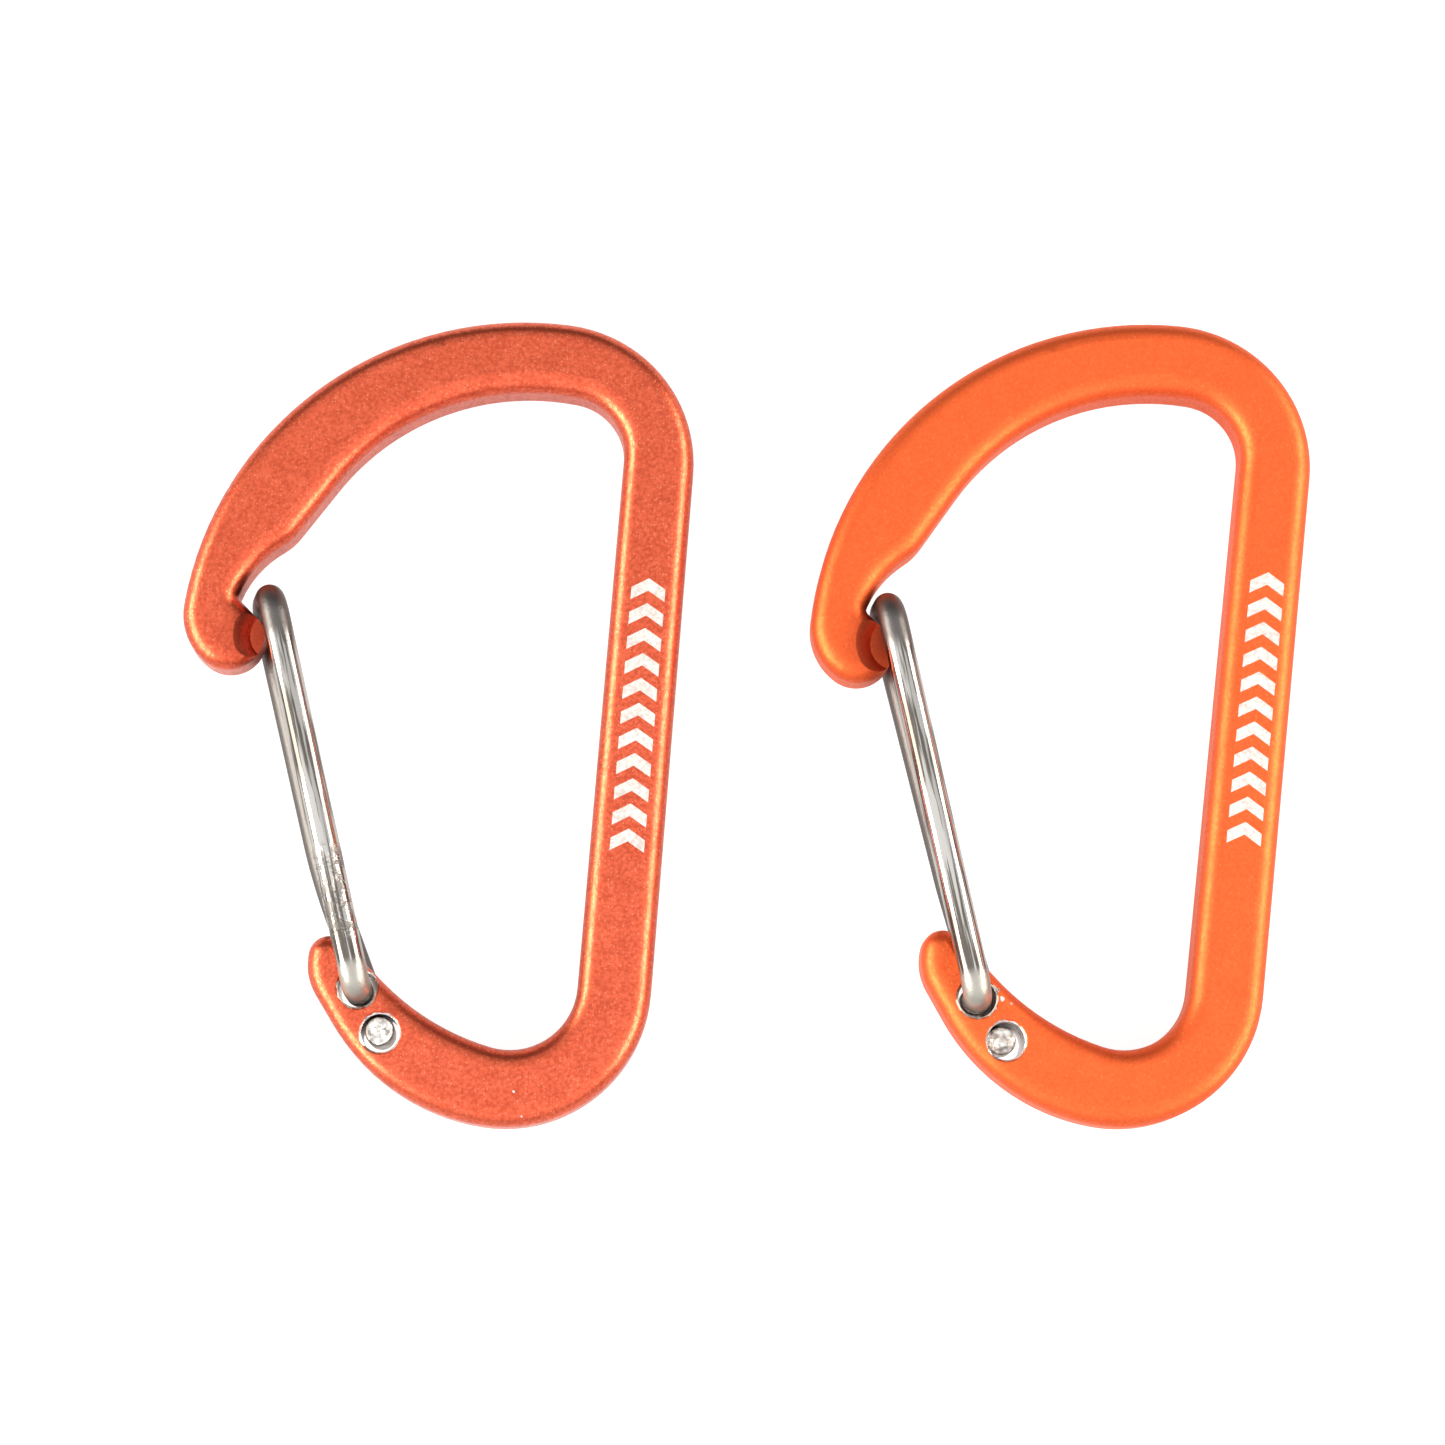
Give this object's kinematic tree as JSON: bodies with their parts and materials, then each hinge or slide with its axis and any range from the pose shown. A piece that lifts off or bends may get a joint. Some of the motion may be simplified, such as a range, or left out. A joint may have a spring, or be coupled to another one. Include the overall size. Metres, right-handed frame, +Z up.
{
  "type": "wire-gate carabiner pair",
  "caption": "Small D-shaped wire-gate carabiners side by side, each an anodised forged hook with a sprung bent-wire gate that opens inward.",
  "frame": {"origin": "on the table under the middle of the pair", "axes": "+X across the pair from the left carabiner to the right one, +Y from the lower bows to the crowns, +Z up off the table, out of the carabiners' front faces"},
  "size_m": [0.0832, 0.0598, 0.0094],
  "materials": {
    "anodised_frame": "satin bead-blasted orange anodise",
    "gate_wire": "polished spring wire"
  },
  "bodies": {
    "left_frame": {"left_frame": "anodised_frame"},
    "left_gate_front": {"left_gate_front_leg": "gate_wire"},
    "left_gate_rear": {"left_gate_rear_leg": "gate_wire"},
    "right_frame": {"right_frame": "anodised_frame"},
    "right_gate_front": {"right_gate_front_leg": "gate_wire"},
    "right_gate_rear": {"right_gate_rear_leg": "gate_wire"}
  },
  "joints": [
    {"name": "left_gate_open", "type": "hinge", "parent": "left_frame", "child": "left_gate_front", "pos_m": [-0.02835, -0.0199, 0.00471], "axis": [-0.0317, -0.0344, -0.9989], "range_deg": [0, 27], "stiffness_Nm_per_rad": 0.1, "springref_deg": -8.59},
    {"name": "left_gate_flex", "type": "hinge", "parent": "left_gate_front", "child": "left_gate_rear", "pos_m": [-0.04131, 0.00488, 0.00427], "axis": [-0.0317, -0.0344, -0.9989], "range_deg": [-3.3, 0]},
    {"name": "right_gate_open", "type": "hinge", "parent": "right_frame", "child": "right_gate_front", "pos_m": [0.01637, -0.02062, 0.00474], "axis": [-0.0328, -0.0334, -0.9989], "range_deg": [0, 27], "stiffness_Nm_per_rad": 0.1, "springref_deg": -8.59},
    {"name": "right_gate_flex", "type": "hinge", "parent": "right_gate_front", "child": "right_gate_rear", "pos_m": [0.00064, 0.00296, 0.00447], "axis": [-0.0328, -0.0334, -0.9989], "range_deg": [-3.3, 0]},
    {"name": "right_carabiner_slide", "type": "slide", "parent": "left_frame", "child": "right_frame", "axis": [1, 0, 0], "range_m": [0, 0.04]}
  ],
  "couplings": [
    {"joint": "left_gate_flex", "follows": "left_gate_open", "ratio": -0.115},
    {"joint": "right_gate_flex", "follows": "right_gate_open", "ratio": -0.115}
  ]
}
